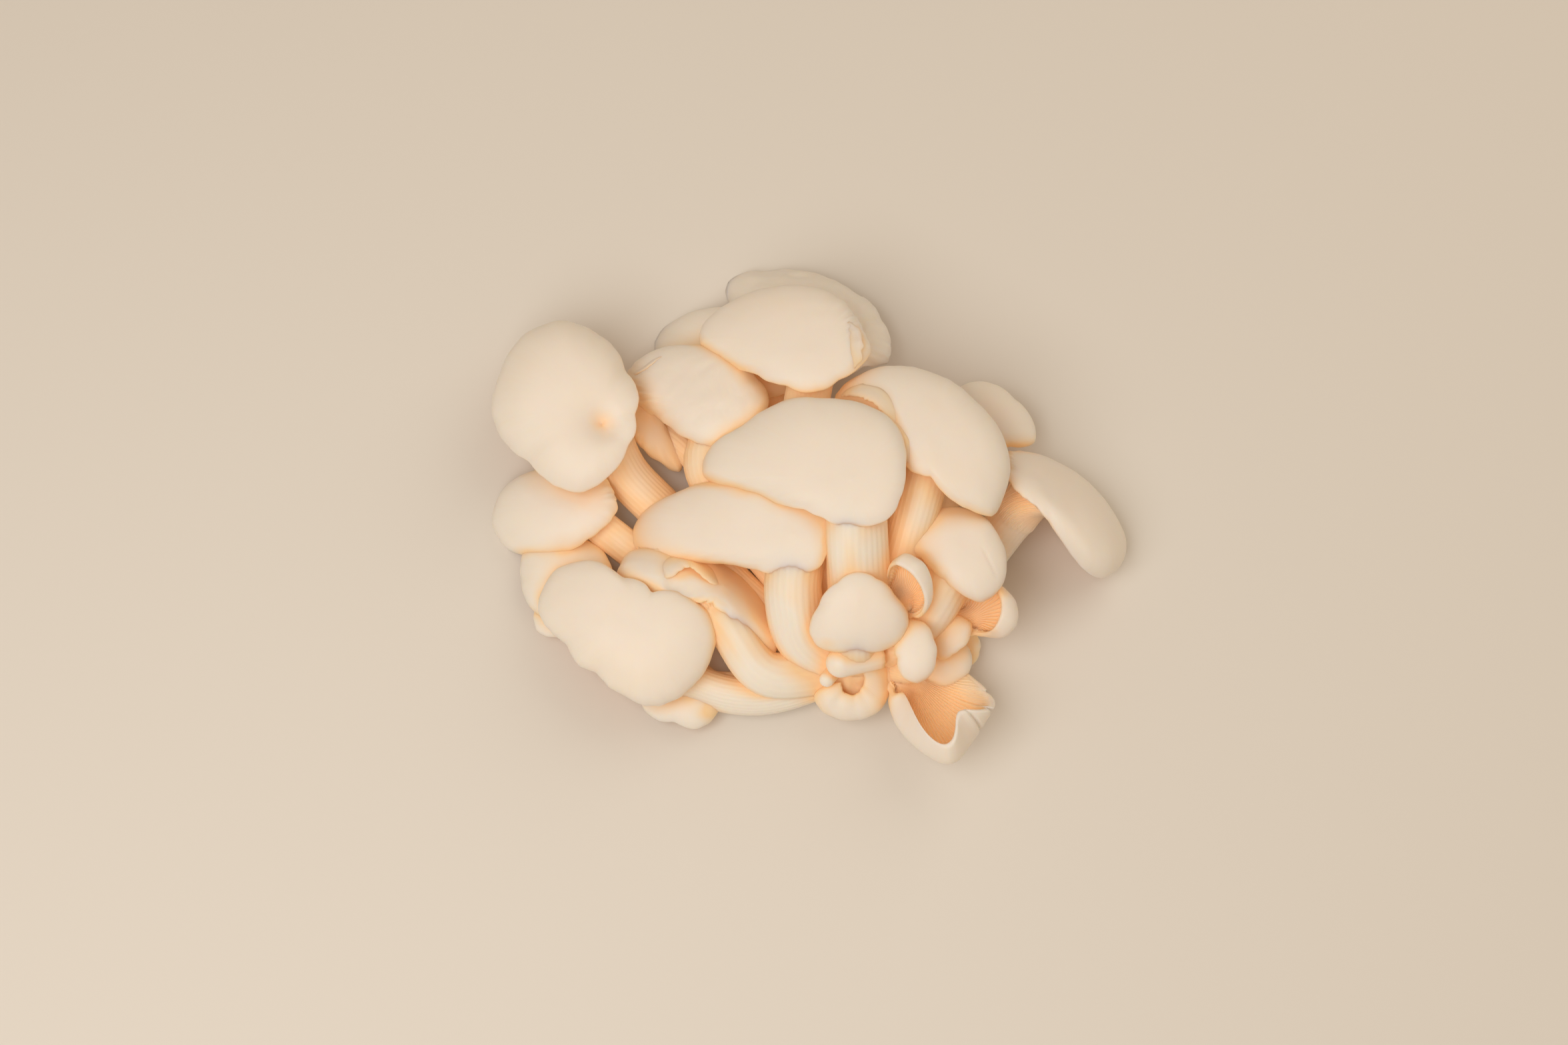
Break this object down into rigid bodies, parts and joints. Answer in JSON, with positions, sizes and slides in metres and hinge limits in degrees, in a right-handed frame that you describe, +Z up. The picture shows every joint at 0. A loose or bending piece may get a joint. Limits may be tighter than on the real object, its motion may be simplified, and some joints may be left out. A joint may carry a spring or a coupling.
{
  "type": "oyster mushroom cluster",
  "caption": "Cluster of pale cream oyster mushrooms, overlapping fan caps on curved ribbed stems grown from one foot, lying on its side.",
  "frame": {"origin": "middle of the cluster's box, on the surface that it lies on", "axes": "+Z up from the surface, +X along the cluster's longest side, towards the shell-shaped cap; +Y towards the withered back cap"},
  "size_m": [0.2046, 0.1772, 0.0562],
  "materials": {
    "mushroom_flesh": "soft matte, slightly waxy"
  },
  "bodies": {
    "root": {"oyster_mushroom_cluster": "mushroom_flesh"}
  },
  "joints": []
}
